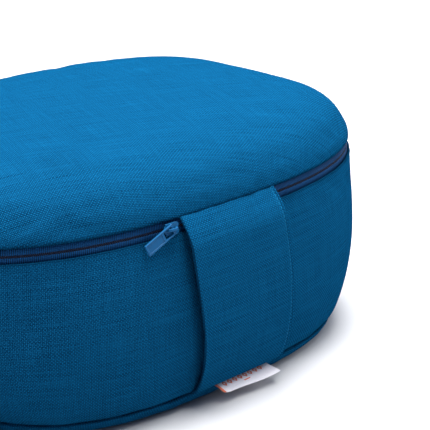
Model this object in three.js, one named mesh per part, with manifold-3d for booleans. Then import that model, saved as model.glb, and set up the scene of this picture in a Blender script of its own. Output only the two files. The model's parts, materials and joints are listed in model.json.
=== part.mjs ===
// An oval floor cushion in millimetres, +Z up, standing on z = 0, long side along X.
// The carry strap is on the -Y side, and the zip runs round the cover just under its top seam.
import * as THREE from 'three';
import { mergeVertices } from 'three/addons/utils/BufferGeometryUtils.js';
import Module from 'manifold-3d';

const wasm = await Module();
wasm.setup();

// The cover's two cut outlines: half length, half width and how square the oval's corners are.
const TOP_OUTLINE = { halfLength: 210, halfWidth: 145, squareness: 2.63 };
const BOTTOM_OUTLINE = { halfLength: 179, halfWidth: 152, squareness: 3.3 };
const TOP_SEAM_Z = 142;
const BOTTOM_SEAM_Z = 13;
const SIDE_SWELL = 0.031;
const SHOULDER_RISE = 32;
const SHOULDER_SQUARENESS = 13;
const SHOULDER_FULLNESS = 0.7;
const CROWN_RISE = 10;
const BASE_TUCK = 0.12;

const CLOTH = 1.6;
const GAP = 0.4;
const SEGMENTS = 72;
const DOME_RINGS = 9;
const SIDE_RINGS = 7;
const TUCK_RINGS = 4;
const INNER_SEGMENTS = 48;
const INNER_RINGS = 5;

// The zip, measured from its centre line: heights along the wall, depths outwards from its face.
const ZIP = { centreZ: 137.2, upper: 4.3, lower: 4.2, split: 0.5, tape: 0.9, steps: 66 };
const COIL = { depth: 1.8, near: 0.55, far: 2.4, behind: 0.3 };
const ZIP_END_X = 30;
const PATCH_STEPS = 6;

const SLIDER = { restX: 56, travelEndX: 134, length: 12.5, width: 8.4, plate: 1.15, clearance: 0.6 };
const NECK = { length: 2.6, width: 0.6, fromCentre: 4.2 };
const BRIDGE = { length: 8.4, width: 1.6, clearHeight: 2.2, crown: 1 };
const TAB = { length: 26, width: 8, thickness: 1.4, bar: 1.6, slotLength: 6, slotWidth: 5.6, droop: 22 };

const STRAP = { width: 92, thickness: 3.4, endGap: 0.8, standOff: 6.2, rings: 16 };
const LABEL = { fromX: -20, toX: 32, depth: 13, thickness: 0.9, droop: 3 };

const CARE_LABEL = { width: 30, height: 55, thickness: 0.6, inset: 4.5, centreZ: 62 };
const LINER = { cloth: 1, inset: 7.5, topSeamZ: 131, bottomSeamZ: 18, crownZ: 173.5, baseZ: 3 };
const FILLING = { inset: 9.5, crownZ: 171.5, baseZ: 5 };

const CLOTH_BLUE = { color: 0x0d5c8f, roughness: 0.95, metalness: 0 };
const STRAP_BLUE = { color: 0x0e5688, roughness: 0.95, metalness: 0 };
const ZIP_NAVY = { color: 0x122f50, roughness: 0.8, metalness: 0 };
const COIL_NAVY = { color: 0x141f3c, roughness: 0.45, metalness: 0 };
const PULLER_BLUE = { color: 0x1f5f9c, roughness: 0.4, metalness: 0.2 };
const LABEL_WHITE = { color: 0xe2d8dc, roughness: 0.8, metalness: 0 };
const LINER_COTTON = { color: 0xe4ddce, roughness: 0.95, metalness: 0 };
const HUSK_BROWN = { color: 0x4b3626, roughness: 0.9, metalness: 0 };

// Distance from the centre line to an outline, in the direction of an angle.
function outlineRadius({ halfLength, halfWidth, squareness }, angle) {
  const along = Math.abs(Math.cos(angle) / halfLength) ** squareness;
  const across = Math.abs(Math.sin(angle) / halfWidth) ** squareness;
  return (along + across) ** (-1 / squareness);
}

// The side wall blends the two outlines from seam to seam and swells a little between them.
function wallRadius(angle, z) {
  const climb = (z - BOTTOM_SEAM_Z) / (TOP_SEAM_Z - BOTTOM_SEAM_Z);
  const share = Math.min(Math.max(climb, 0), 1);
  const top = outlineRadius(TOP_OUTLINE, angle);
  const bottom = outlineRadius(BOTTOM_OUTLINE, angle);
  return (bottom + (top - bottom) * share) * (1 + SIDE_SWELL * Math.sin(Math.PI * share));
}

function wallPoint(angle, z) {
  const radius = wallRadius(angle, z);
  return new THREE.Vector3(radius * Math.cos(angle), radius * Math.sin(angle), z);
}

// The angle at which the front wall reaches a given x.
function frontAngle(x, z) {
  let angle = Math.atan2(-TOP_OUTLINE.halfWidth, x);
  for (let pass = 0; pass < 20; pass += 1) {
    const point = wallPoint(angle, z);
    angle = Math.atan2(point.y, x);
  }
  return angle;
}

function crownRise(share) {
  const shoulder = SHOULDER_RISE * (1 - share ** SHOULDER_SQUARENESS) ** SHOULDER_FULLNESS;
  return shoulder + CROWN_RISE * (1 - share ** 2);
}

// A lathe whose rings follow the oval wall. Each ring is a share of the wall's radius at its height,
// less an inset.
function ovalLathe(rings, segments = SEGMENTS) {
  const profile = rings.map(({ share, z }) => new THREE.Vector2(share, z));
  const geometry = new THREE.LatheGeometry(profile, segments);
  const position = geometry.getAttribute('position');
  for (let i = 0; i <= segments; i += 1) {
    const angle = ((i % segments) / segments) * 2 * Math.PI;
    rings.forEach(({ share, inset, z }, j) => {
      const radius = share * (wallRadius(angle, z) - inset);
      const vertex = i * rings.length + j;
      position.setXYZ(vertex, radius * Math.cos(angle), radius * Math.sin(angle), z);
    });
  }
  return geometry;
}

// Rings of a dome from its edge up to its centre.
function domeRings(edgeZ, crownZ, inset, count) {
  const rings = [];
  for (let k = count; k >= 0; k -= 1) {
    const share = Math.sqrt(Math.sin((k / count) * (Math.PI / 2)));
    const z = edgeZ + ((crownZ - edgeZ) * crownRise(share)) / crownRise(0);
    rings.push({ share, inset, z });
  }
  return rings;
}

// Rings of a dished base from its centre out to its edge, flat except for the tuck.
function baseRings(baseZ, edgeZ, inset) {
  const rings = [{ share: 0, inset, z: baseZ }];
  for (let k = 0; k <= TUCK_RINGS; k += 1) {
    const turn = (k / TUCK_RINGS) * (Math.PI / 2);
    const share = 1 - BASE_TUCK * (1 - Math.sin(turn));
    rings.push({ share, inset, z: baseZ + (edgeZ - baseZ) * (1 - Math.cos(turn)) });
  }
  return rings;
}

// Rings of a side wall from its lower edge to its upper edge.
function sideRings(lowZ, highZ, inset, count) {
  const rings = [];
  for (let k = 0; k <= count; k += 1) {
    rings.push({ share: 1, inset, z: lowZ + ((highZ - lowZ) * k) / count });
  }
  return rings;
}

// A dome of cloth, open underneath.
function domeShell(edgeZ, crownZ, inset, thickness, count, segments) {
  const outer = domeRings(edgeZ, crownZ, inset, count);
  const inner = domeRings(edgeZ, crownZ - thickness, inset + thickness, count);
  return ovalLathe([...inner.reverse(), ...outer], segments);
}

// A dish of cloth, open on top.
function baseShell(baseZ, edgeZ, inset, thickness, segments) {
  const outer = baseRings(baseZ, edgeZ, inset);
  const inner = baseRings(baseZ + thickness, edgeZ, inset + thickness);
  return ovalLathe([...outer, ...inner.reverse()], segments);
}

// A band of cloth, open at top and bottom.
function sideShell(lowZ, highZ, inset, thickness, count, segments) {
  const outer = sideRings(lowZ, highZ, inset, count);
  const inner = sideRings(lowZ, highZ, inset + thickness, count);
  return ovalLathe([...outer, ...inner.reverse(), outer[0]], segments);
}

// A level line on the wall, from one angle to another.
class WallPath extends THREE.Curve {
  constructor(fromAngle, toAngle, z) {
    super();
    this.fromAngle = fromAngle;
    this.toAngle = toAngle;
    this.z = z;
  }

  getPoint(t, target = new THREE.Vector3()) {
    return target.copy(wallPoint(this.fromAngle + (this.toAngle - this.fromAngle) * t, this.z));
  }
}

// How far the wall leans back at the zip, so that tapes, coils and slider lie along it.
const frontWall = -Math.PI / 2;
const zipRun = wallRadius(frontWall, ZIP.centreZ - ZIP.lower) - wallRadius(frontWall, ZIP.centreZ + ZIP.upper);
const zipLean = Math.atan2(zipRun, ZIP.lower + ZIP.upper);

// A band along a wall path, from two heights along the wall and two depths outwards from it.
function zipBand(path, steps, low, high, inner, outer) {
  const corners = [[inner, low], [outer, low], [outer, high], [inner, high]];
  const section = corners.map(([out, up]) => {
    const outwards = out * Math.cos(zipLean) - up * Math.sin(zipLean);
    const upwards = up * Math.cos(zipLean) + out * Math.sin(zipLean);
    return new THREE.Vector2(-upwards, outwards);
  });
  const shape = new THREE.Shape(section);
  return new THREE.ExtrudeGeometry(shape, { steps, extrudePath: path, bevelEnabled: false });
}

const zipStart = frontAngle(-ZIP_END_X, ZIP.centreZ);
const zipEnd = frontAngle(ZIP_END_X, ZIP.centreZ) - 2 * Math.PI;
const zipPath = new WallPath(zipStart, zipEnd, ZIP.centreZ);

function upperTape() {
  return zipBand(zipPath, ZIP.steps, ZIP.split, ZIP.upper, -ZIP.tape, 0);
}

function lowerTape() {
  return zipBand(zipPath, ZIP.steps, -ZIP.lower, -ZIP.split, -ZIP.tape, 0);
}

function coil(side) {
  const outer = -ZIP.tape - COIL.behind;
  const low = Math.min(side * COIL.near, side * COIL.far);
  const high = Math.max(side * COIL.near, side * COIL.far);
  return zipBand(zipPath, ZIP.steps, low, high, outer - COIL.depth, outer);
}

// The patch of cloth that joins the zip's two ends behind the strap.
function zipEndPatch() {
  const edge = ZIP_END_X - GAP;
  const path = new WallPath(frontAngle(edge, ZIP.centreZ), frontAngle(-edge, ZIP.centreZ), ZIP.centreZ);
  return zipBand(path, PATCH_STEPS, -ZIP.lower, ZIP.upper, -ZIP.tape, 0);
}

// The circle that follows the zip's centre line over the slider's travel.
function sliderTrack() {
  const middleX = (SLIDER.restX + SLIDER.travelEndX) / 2;
  const [a, b, c] = [SLIDER.restX, middleX, SLIDER.travelEndX].map((x) => {
    return wallPoint(frontAngle(-x, ZIP.centreZ), ZIP.centreZ);
  });
  const [aa, bb, cc] = [a, b, c].map((point) => point.x ** 2 + point.y ** 2);
  const spread = 2 * (a.x * (b.y - c.y) + b.x * (c.y - a.y) + c.x * (a.y - b.y));
  const x = (aa * (b.y - c.y) + bb * (c.y - a.y) + cc * (a.y - b.y)) / spread;
  const y = (aa * (c.x - b.x) + bb * (a.x - c.x) + cc * (b.x - a.x)) / spread;
  return { centre: new THREE.Vector3(x, y, ZIP.centreZ), start: a };
}

// The slider's own frame: x along its travel, y away from the wall, z up along the wall.
function sliderPlacement() {
  const { centre, start } = sliderTrack();
  const outwards = start.clone().sub(centre).normalize();
  const travel = new THREE.Vector3(outwards.y, -outwards.x, 0);
  const face = outwards.multiplyScalar(Math.cos(zipLean));
  face.z = Math.sin(zipLean);
  const upWall = travel.clone().cross(face);
  return new THREE.Matrix4().makeBasis(travel, face, upWall).setPosition(start);
}

function toSolid(geometry) {
  const plain = geometry.clone();
  plain.deleteAttribute('normal');
  plain.deleteAttribute('uv');
  const merged = mergeVertices(plain, 1e-4);
  return new wasm.Manifold(new wasm.Mesh({
    numProp: 3,
    vertProperties: new Float32Array(merged.getAttribute('position').array),
    triVerts: new Uint32Array(merged.getIndex().array),
  }));
}

function toGeometry(solid) {
  const mesh = solid.getMesh();
  const geometry = new THREE.BufferGeometry();
  geometry.setAttribute('position', new THREE.BufferAttribute(new Float32Array(mesh.vertProperties), 3));
  geometry.setIndex(new THREE.BufferAttribute(new Uint32Array(mesh.triVerts), 1));
  return geometry;
}

function box(sizeX, sizeY, sizeZ, x, y, z) {
  return toSolid(new THREE.BoxGeometry(sizeX, sizeY, sizeZ).translate(x, y, z));
}

// Two plates that hold the chain between them, the divider that parts it, and the puller's bridge.
function sliderBody() {
  const outerFace = SLIDER.clearance;
  const innerFace = -ZIP.tape - COIL.behind - COIL.depth - SLIDER.clearance;
  const half = SLIDER.plate / 2;
  const outerPlate = box(SLIDER.length, SLIDER.plate, SLIDER.width, 0, outerFace + half, 0);
  const innerPlate = box(SLIDER.length, SLIDER.plate, SLIDER.width, 0, innerFace - half, 0);
  const neckDepth = outerFace - innerFace + SLIDER.plate;
  const neckMiddle = (outerFace + innerFace) / 2;
  const neck = box(NECK.length, neckDepth, NECK.width, -NECK.fromCentre, neckMiddle, 0);
  const bridgeBase = outerFace + half;
  const bridgeTop = outerFace + SLIDER.plate + BRIDGE.clearHeight + BRIDGE.crown;
  const bridgeMiddle = (bridgeBase + bridgeTop) / 2;
  const bridge = box(BRIDGE.length, bridgeTop - bridgeBase, BRIDGE.width, 0, bridgeMiddle, 0);
  const clearLength = BRIDGE.length - 2 * BRIDGE.crown;
  const clearMiddle = outerFace + SLIDER.plate + BRIDGE.clearHeight / 2;
  const clear = box(clearLength, BRIDGE.clearHeight, SLIDER.width, 0, clearMiddle, 0);
  return toGeometry(outerPlate.add(innerPlate).add(neck).add(bridge.subtract(clear)));
}

// The pull tab hangs on the bridge by the bar at its end, and droops away from the strap.
function pullTab() {
  const offPlate = SLIDER.clearance + SLIDER.plate + BRIDGE.clearHeight / 2;
  const shape = new THREE.Shape();
  const half = TAB.width / 2;
  shape.moveTo(-TAB.bar / 2, -half);
  shape.lineTo(TAB.length - TAB.bar / 2, -half);
  shape.lineTo(TAB.length - TAB.bar / 2, half);
  shape.lineTo(-TAB.bar / 2, half);
  shape.closePath();
  const slot = new THREE.Path();
  const slotHalf = TAB.slotWidth / 2;
  slot.moveTo(TAB.bar / 2, -slotHalf);
  slot.lineTo(TAB.bar / 2, slotHalf);
  slot.lineTo(TAB.bar / 2 + TAB.slotLength, slotHalf);
  slot.lineTo(TAB.bar / 2 + TAB.slotLength, -slotHalf);
  slot.closePath();
  shape.holes.push(slot);
  const geometry = new THREE.ExtrudeGeometry(shape, { depth: TAB.thickness, bevelEnabled: false });
  geometry.translate(0, 0, -TAB.thickness / 2);
  geometry.rotateX(Math.PI / 2);
  geometry.rotateY(THREE.MathUtils.degToRad(TAB.droop));
  return geometry.translate(0, offPlate, 0);
}

// The carry strap stands off the front wall between the seams that hold its ends.
function carryStrap() {
  const height = TOP_SEAM_Z - BOTTOM_SEAM_Z - 2 * GAP;
  const edge = (k, extra) => {
    const z = BOTTOM_SEAM_Z + GAP + (height * k) / STRAP.rings;
    const off = STRAP.endGap + STRAP.standOff * Math.sin((Math.PI * k) / STRAP.rings) ** 0.6;
    return new THREE.Vector2(-wallRadius(frontWall, z) - off - extra, z);
  };
  const steps = Array.from({ length: STRAP.rings + 1 }, (_, k) => k);
  const near = steps.map((k) => edge(k, 0));
  const far = steps.map((k) => edge(k, STRAP.thickness)).reverse();
  const shape = new THREE.Shape([...near, ...far]);
  const geometry = new THREE.ExtrudeGeometry(shape, { depth: STRAP.width, bevelEnabled: false });
  geometry.translate(0, 0, -STRAP.width / 2);
  const alongY = new THREE.Vector3(0, 1, 0);
  const alongZ = new THREE.Vector3(0, 0, 1);
  const alongX = new THREE.Vector3(1, 0, 0);
  return geometry.applyMatrix4(new THREE.Matrix4().makeBasis(alongY, alongZ, alongX));
}

// The folded label sticks out of the bottom seam below the strap.
function wovenLabel() {
  const seamY = -BOTTOM_OUTLINE.halfWidth - GAP;
  const topZ = BOTTOM_SEAM_Z - GAP;
  const shape = new THREE.Shape();
  shape.moveTo(seamY, topZ);
  shape.lineTo(seamY - LABEL.depth, topZ - LABEL.droop);
  shape.lineTo(seamY - LABEL.depth, topZ - LABEL.droop - LABEL.thickness);
  shape.lineTo(seamY, topZ - LABEL.thickness);
  shape.closePath();
  const width = LABEL.toX - LABEL.fromX;
  const geometry = new THREE.ExtrudeGeometry(shape, { depth: width, bevelEnabled: false });
  const alongY = new THREE.Vector3(0, 1, 0);
  const alongZ = new THREE.Vector3(0, 0, 1);
  const alongX = new THREE.Vector3(1, 0, 0);
  geometry.applyMatrix4(new THREE.Matrix4().makeBasis(alongY, alongZ, alongX));
  return geometry.translate(LABEL.fromX, 0, 0);
}

// The care label lies loose between cover and inner bag, at the back.
function careLabel() {
  const y = wallRadius(Math.PI / 2, CARE_LABEL.centreZ) - CARE_LABEL.inset;
  const geometry = new THREE.BoxGeometry(CARE_LABEL.width, CARE_LABEL.thickness, CARE_LABEL.height);
  return geometry.translate(0, y, CARE_LABEL.centreZ);
}

// The husk filling takes the inside of the inner bag.
function huskFilling() {
  const low = LINER.bottomSeamZ;
  const high = LINER.topSeamZ;
  return ovalLathe([
    ...baseRings(FILLING.baseZ, low, FILLING.inset),
    ...sideRings(low, high, FILLING.inset, INNER_RINGS).slice(1, -1),
    ...domeRings(high, FILLING.crownZ, FILLING.inset, INNER_RINGS),
  ], INNER_SEGMENTS);
}

const cushion = new THREE.Group();

function addPiece(name, geometry, look, placement) {
  const mesh = new THREE.Mesh(geometry, new THREE.MeshStandardMaterial(look));
  mesh.name = name;
  if (placement) {
    placement.decompose(mesh.position, mesh.quaternion, mesh.scale);
  }
  cushion.add(mesh);
}

function linerTop() {
  const { topSeamZ, crownZ, inset, cloth } = LINER;
  return domeShell(topSeamZ, crownZ, inset, cloth, INNER_RINGS, INNER_SEGMENTS);
}

function linerSide() {
  const { bottomSeamZ, topSeamZ, inset, cloth } = LINER;
  return sideShell(bottomSeamZ, topSeamZ - GAP, inset, cloth, INNER_RINGS, INNER_SEGMENTS);
}

function linerBottom() {
  const { baseZ, bottomSeamZ, inset, cloth } = LINER;
  return baseShell(baseZ, bottomSeamZ - GAP, inset, cloth, INNER_SEGMENTS);
}

const coverCrownZ = TOP_SEAM_Z + crownRise(0);
const coverSideTop = ZIP.centreZ - ZIP.lower - GAP;

addPiece('top_panel', domeShell(TOP_SEAM_Z, coverCrownZ, 0, CLOTH, DOME_RINGS), CLOTH_BLUE);
addPiece('side_panel', sideShell(BOTTOM_SEAM_Z, coverSideTop, 0, CLOTH, SIDE_RINGS), CLOTH_BLUE);
addPiece('bottom_panel', baseShell(0, BOTTOM_SEAM_Z - GAP, 0, CLOTH), CLOTH_BLUE);
addPiece('upper_zip_tape', upperTape(), ZIP_NAVY);
addPiece('lower_zip_tape', lowerTape(), ZIP_NAVY);
addPiece('upper_zip_coil', coil(1), COIL_NAVY);
addPiece('lower_zip_coil', coil(-1), COIL_NAVY);
addPiece('zip_end_patch', zipEndPatch(), CLOTH_BLUE);
addPiece('zip_slider', sliderBody(), PULLER_BLUE, sliderPlacement());
addPiece('pull_tab', pullTab(), PULLER_BLUE, sliderPlacement());
addPiece('carry_strap', carryStrap(), STRAP_BLUE);
addPiece('woven_label', wovenLabel(), LABEL_WHITE);
addPiece('care_label', careLabel(), LABEL_WHITE);
addPiece('liner_top', linerTop(), LINER_COTTON);
addPiece('liner_side', linerSide(), LINER_COTTON);
addPiece('liner_bottom', linerBottom(), LINER_COTTON);
addPiece('husk_filling', huskFilling(), HUSK_BROWN);

// The origin is the middle of the whole cushion's footprint, strap and label included.
const extent = new THREE.Box3().setFromObject(cushion);
cushion.position.x = -(extent.min.x + extent.max.x) / 2;
cushion.position.y = -(extent.min.y + extent.max.y) / 2;

export default cushion;
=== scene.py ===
"""An oval floor cushion: cloth cover, zip, carry strap, label and filling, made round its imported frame."""

import json
import math

import bmesh
import bpy
import numpy as np
from bpy.props import FloatProperty, FloatVectorProperty, IntProperty, PointerProperty
from mathutils import Matrix, Vector


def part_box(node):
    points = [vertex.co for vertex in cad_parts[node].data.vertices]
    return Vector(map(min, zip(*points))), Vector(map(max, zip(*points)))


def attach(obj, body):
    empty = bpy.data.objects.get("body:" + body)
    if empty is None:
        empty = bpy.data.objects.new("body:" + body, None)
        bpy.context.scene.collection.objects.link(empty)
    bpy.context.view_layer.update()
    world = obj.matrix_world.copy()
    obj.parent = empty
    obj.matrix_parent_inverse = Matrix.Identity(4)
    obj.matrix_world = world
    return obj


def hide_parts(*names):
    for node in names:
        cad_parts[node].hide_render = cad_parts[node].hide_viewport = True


bl_info = {
    "name": "Oval Floor Cushion",
    "version": (1, 0, 0),
    "blender": (4, 5, 0),
    "location": "View3D > Sidebar > Cushion",
    "description": "Makes the looks of an oval floor cushion with a zip cover and a carry strap",
    "category": "Object",
}

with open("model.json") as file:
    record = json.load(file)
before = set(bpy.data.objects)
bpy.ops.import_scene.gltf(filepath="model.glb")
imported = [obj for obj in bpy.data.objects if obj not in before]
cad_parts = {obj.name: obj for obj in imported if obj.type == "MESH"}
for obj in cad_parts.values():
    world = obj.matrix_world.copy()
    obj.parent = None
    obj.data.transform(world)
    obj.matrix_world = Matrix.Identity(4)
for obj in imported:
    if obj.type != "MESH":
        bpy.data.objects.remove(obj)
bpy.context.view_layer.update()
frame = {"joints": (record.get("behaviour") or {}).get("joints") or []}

MM = 0.001
TOP_LOW, TOP_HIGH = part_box("top_panel")
SIDE_LOW, SIDE_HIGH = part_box("side_panel")
BASE_LOW, BASE_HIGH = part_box("bottom_panel")
STRAP_LOW, STRAP_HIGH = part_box("carry_strap")
LABEL_LOW, LABEL_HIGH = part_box("woven_label")
CARE_LOW, CARE_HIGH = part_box("care_label")
PATCH_LOW, PATCH_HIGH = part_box("zip_end_patch")
LINER_TOP_LOW, LINER_TOP_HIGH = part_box("liner_top")
LINER_BASE_LOW, LINER_BASE_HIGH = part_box("liner_bottom")
HUSK_LOW, HUSK_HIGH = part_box("husk_filling")
JOINTS = {joint["name"]: joint for joint in frame["joints"]}

MIDDLE_Y = (TOP_LOW.y + TOP_HIGH.y) / 2
TOP_SEAM_Z = TOP_LOW.z
CROWN_Z = TOP_HIGH.z
BASE_SEAM_Z = SIDE_LOW.z
SIDE_TOP_Z = SIDE_HIGH.z
CHAIN_Z = (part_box("upper_zip_tape")[0].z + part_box("lower_zip_tape")[1].z) / 2
FRONT = -math.pi / 2


# ---- sizes and colours

def length(name, default, description):
    return FloatProperty(name=name, description=description, default=default, unit="LENGTH", precision=5)


def share(name, default, description):
    return FloatProperty(name=name, description=description, default=default)


def turn_of(name, degrees, description):
    return FloatProperty(name=name, description=description, default=math.radians(degrees), subtype="ANGLE")


def colour(name, default, description):
    return FloatVectorProperty(
        name=name, description=description, default=default, subtype="COLOR", size=3, min=0, max=1
    )


class CushionShape(bpy.types.PropertyGroup):
    """How the filled cover is cut and how full it stands."""

    top_squareness: share("Top squareness", 2.63, "How square the top outline's corners are")
    base_squareness: share("Base squareness", 3.0, "How square the bottom outline's corners are")
    base_draw: length("Base draw", 0.0035, "How far the filled side draws the bottom seam inwards")
    side_swell: share("Side swell", 0.062, "How far the side stands out where it is fullest")
    swell_drop: share("Swell drop", 0.75, "How low the side is fullest: 1 is at half height")
    shoulder_share: share("Shoulder share", 0.762, "How much of the crown's rise is in its shoulder")
    shoulder_squareness: share("Shoulder squareness", 13.0, "How tight the shoulder's turn is")
    shoulder_fullness: share("Shoulder fullness", 0.7, "How softly the shoulder leaves the seam")
    cloth: length("Cloth thickness", 0.0011, "Thickness of the cover's canvas")
    lump: length("Lump height", 0.0004, "Height of the soft lumps that the filling makes")
    pucker: length("Pucker height", 0.00042, "Height of the puckers along the seams")
    pucker_reach: length("Pucker reach", 0.009, "How far the puckers run from a seam")
    grain_angle: turn_of("Grain angle", -19, "How far the top panel's threads are turned")
    join_angle: turn_of("Join angle", -146, "Where the side panel's ends are sewn together")


class CushionZip(bpy.types.PropertyGroup):
    """Sizes of the zip's tapes, teeth and puller."""

    tooth_spacing: length("Tooth spacing", 0.0013, "Distance from tooth to tooth along one row")
    tooth_length: length("Tooth length", 0.0017, "Length of a tooth across the chain")
    tooth_width: length("Tooth width", 0.00085, "Width of a tooth along the chain")
    tape_inset: length("Tape inset", 0.0019, "How far the tapes lie behind the cover's face")
    plate_length: length("Slider length", 0.0125, "Length of the slider's plates")
    plate_width: length("Slider width", 0.0086, "Width of the slider's outer plate")
    tab_length: length("Pull tab length", 0.026, "Length of the pull tab")
    tab_width: length("Pull tab width", 0.008, "Width of the pull tab")


class CushionSewing(bpy.types.PropertyGroup):
    """Sizes of the strap, the label and the stitches."""

    strap_thickness: length("Strap thickness", 0.0027, "Thickness of the folded strap")
    stitch_inset: length("Stitch inset", 0.0036, "Distance from the strap's edge to its stitch row")
    stitch_spacing: length("Stitch spacing", 0.0031, "Distance from stitch to stitch")
    stitch_length: length("Stitch length", 0.0025, "Length of one stitch that shows")
    thread: length("Thread", 0.0007, "Thickness of the sewing thread")
    seed: IntProperty(name="Seed", description="Seed of the stitches' small differences", default=7, min=0)


class CushionColours(bpy.types.PropertyGroup):
    """Colours of the cloth, zip, puller, label and filling."""

    cloth_high: colour("Thread tops", (0.0036, 0.093, 0.215), "Canvas where a thread lies on top")
    cloth_low: colour("Thread gaps", (0.0008, 0.0050, 0.022), "Canvas between its threads")
    tape: colour("Zip tape", (0.0022, 0.023, 0.070), "Zip tape's ribs")
    tooth: colour("Zip teeth", (0.0030, 0.005, 0.018), "Zip teeth")
    paint: colour("Puller paint", (0.0030, 0.080, 0.205), "Paint of slider and pull tab")
    metal: colour("Bare metal", (0.4200, 0.500, 0.580), "Metal where the paint is worn")
    thread: colour("Thread", (0.0030, 0.120, 0.250), "Sewing thread")
    label: colour("Label", (0.9500, 0.900, 0.930), "Woven label's ground")
    mark: colour("Label mark", (0.7800, 0.120, 0.016), "Woven label's marks")
    cotton: colour("Inner bag", (0.7400, 0.680, 0.560), "Unbleached cotton of the inner bag")
    husk: colour("Husks", (0.1500, 0.080, 0.035), "Dry husks")


# ---- the cushion's form

def outline(angle, half_length, half_width, squareness):
    """Distance from the middle to an oval outline, in the direction of each angle."""
    along = np.abs(np.cos(angle) / half_length) ** squareness
    across = np.abs(np.sin(angle) / half_width) ** squareness
    return (along + across) ** (-1 / squareness)


def wall_radius(angle, z):
    """Distance from the middle to the cover's wall, at each angle and height."""
    shape = bpy.context.scene.cushion_shape
    climb = np.clip((z - BASE_SEAM_Z) / (TOP_SEAM_Z - BASE_SEAM_Z), 0, 1)
    top = outline(angle, TOP_HIGH.x, TOP_HIGH.y - MIDDLE_Y, shape.top_squareness)
    draw = shape.base_draw
    base = outline(angle, BASE_HIGH.x - draw, BASE_HIGH.y - MIDDLE_Y - draw, shape.base_squareness)
    return (base + (top - base) * climb) * (1 + shape.side_swell * np.sin(np.pi * climb**shape.swell_drop))


def crown_rise(part):
    """Height of the dome above its seam as a share of its whole height, at a share of its radius."""
    shape = bpy.context.scene.cushion_shape
    shoulder = np.clip(1 - part**shape.shoulder_squareness, 0, 1) ** shape.shoulder_fullness
    return shape.shoulder_share * shoulder + (1 - shape.shoulder_share) * (1 - part**2)


def polar(radius, angle):
    return np.stack([radius * np.cos(angle), radius * np.sin(angle)], axis=-1)


def place(angle, radius, z):
    """Points at an angle and a distance from the cushion's middle, at a height."""
    return np.stack([radius * np.cos(angle), MIDDLE_Y + radius * np.sin(angle), z + 0 * angle], axis=-1)


def front_angle(x, z):
    """The angle at which the front wall reaches x."""
    angle = math.atan2(-1, x)
    for _ in range(30):
        across = float(wall_radius(np.array(angle), z)) * math.sin(angle)
        angle = math.atan2(across, x)
    return angle


def ripple(a, b, seed, lowest=1.0, highest=3.0):
    """A smooth uneven field between about -1 and 1 over two coordinates, the same on each run."""
    waves = 14
    chance = np.random.default_rng(seed)
    total = np.zeros(np.broadcast(a, b).shape)
    for _ in range(waves):
        pitch = chance.uniform(lowest, highest)
        turn = chance.uniform(0, math.tau)
        phase = chance.uniform(0, math.tau)
        total += np.sin(pitch * (math.cos(turn) * a + math.sin(turn) * b) + phase)
    return total / math.sqrt(waves)


# ---- meshes

def link(piece):
    bpy.context.scene.collection.objects.link(piece)
    return piece


def mesh_piece(name, points, faces, cloth_uv=None, seam=None, uv_faces=None):
    """A piece from points and faces, with its cloth coordinates and its distance from a seam.

    The cloth's own faces are given where a panel's two ends are sewn together.
    """
    mesh = bpy.data.meshes.new(name)
    mesh.from_pydata([tuple(p) for p in points], [], [tuple(f) for f in faces])
    corners = np.zeros(len(mesh.loops), np.int32)
    mesh.loops.foreach_get("vertex_index", corners)
    if uv_faces is not None:
        corners = np.array([corner for face in uv_faces for corner in face], np.int32)
    if cloth_uv is not None:
        layer = mesh.uv_layers.new(name="cloth")
        layer.data.foreach_set("uv", np.asarray(cloth_uv, np.float32)[corners].ravel())
    if seam is not None:
        held = mesh.attributes.new("seam", "FLOAT", "POINT")
        held.data.foreach_set("value", np.asarray(seam, np.float32).ravel())
    mesh.polygons.foreach_set("use_smooth", [True] * len(mesh.polygons))
    mesh.update()
    return link(bpy.data.objects.new(name, mesh))


def grid_faces(rows, columns, closed=False):
    """Quads of a grid of points, counted row by row."""
    faces = []
    span = columns if closed else columns - 1
    for i in range(rows - 1):
        for j in range(span):
            k = (j + 1) % columns
            faces.append((i * columns + j, i * columns + k, (i + 1) * columns + k, (i + 1) * columns + j))
    return faces


def round_grid(rings):
    """Square grid laid on a disc so that its squares become rings: ring number, angle and faces."""
    side = 2 * rings + 1
    j, i = np.meshgrid(np.arange(side) - rings, np.arange(side) - rings)
    ring = np.maximum(np.abs(i), np.abs(j))
    safe = np.maximum(ring, 1)
    quarter = math.pi / 4
    east = (np.abs(j) >= np.abs(i)) & (j > 0)
    west = (np.abs(j) >= np.abs(i)) & (j < 0)
    north = (np.abs(i) > np.abs(j)) & (i > 0)
    angle = np.where(north, 2 * quarter - quarter * j / safe, -2 * quarter + quarter * j / safe)
    angle = np.where(east, quarter * i / safe, angle)
    angle = np.where(west, 4 * quarter - quarter * i / safe, angle)
    return ring.ravel(), angle.ravel(), grid_faces(side, side)


def face_outwards(piece):
    """Turns a closed piece's faces outwards."""
    mesh = bmesh.new()
    mesh.from_mesh(piece.data)
    bmesh.ops.recalc_face_normals(mesh, faces=mesh.faces)
    mesh.to_mesh(piece.data)
    mesh.free()


def smooth_over(piece):
    smooth = piece.modifiers.new("Smooth", "SUBSURF")
    smooth.levels = 1
    smooth.render_levels = 1


def thicken(piece, thickness):
    """Smooths a panel and gives its cloth a thickness, inwards."""
    smooth_over(piece)
    wall = piece.modifiers.new("Thickness", "SOLIDIFY")
    wall.thickness = thickness
    wall.offset = -1


def run_along(points):
    """Distance along a row of points, from the first."""
    return np.concatenate([[0], np.cumsum(np.linalg.norm(np.diff(points, axis=0), axis=1))])


# A settled panel's furthest move, its cloth's growth as a share and the length of its settling.
SETTLE_CAP = 1.2 * MM
SETTLE_GROWTH = 0.003
SETTLE_FRAMES = 20


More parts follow.
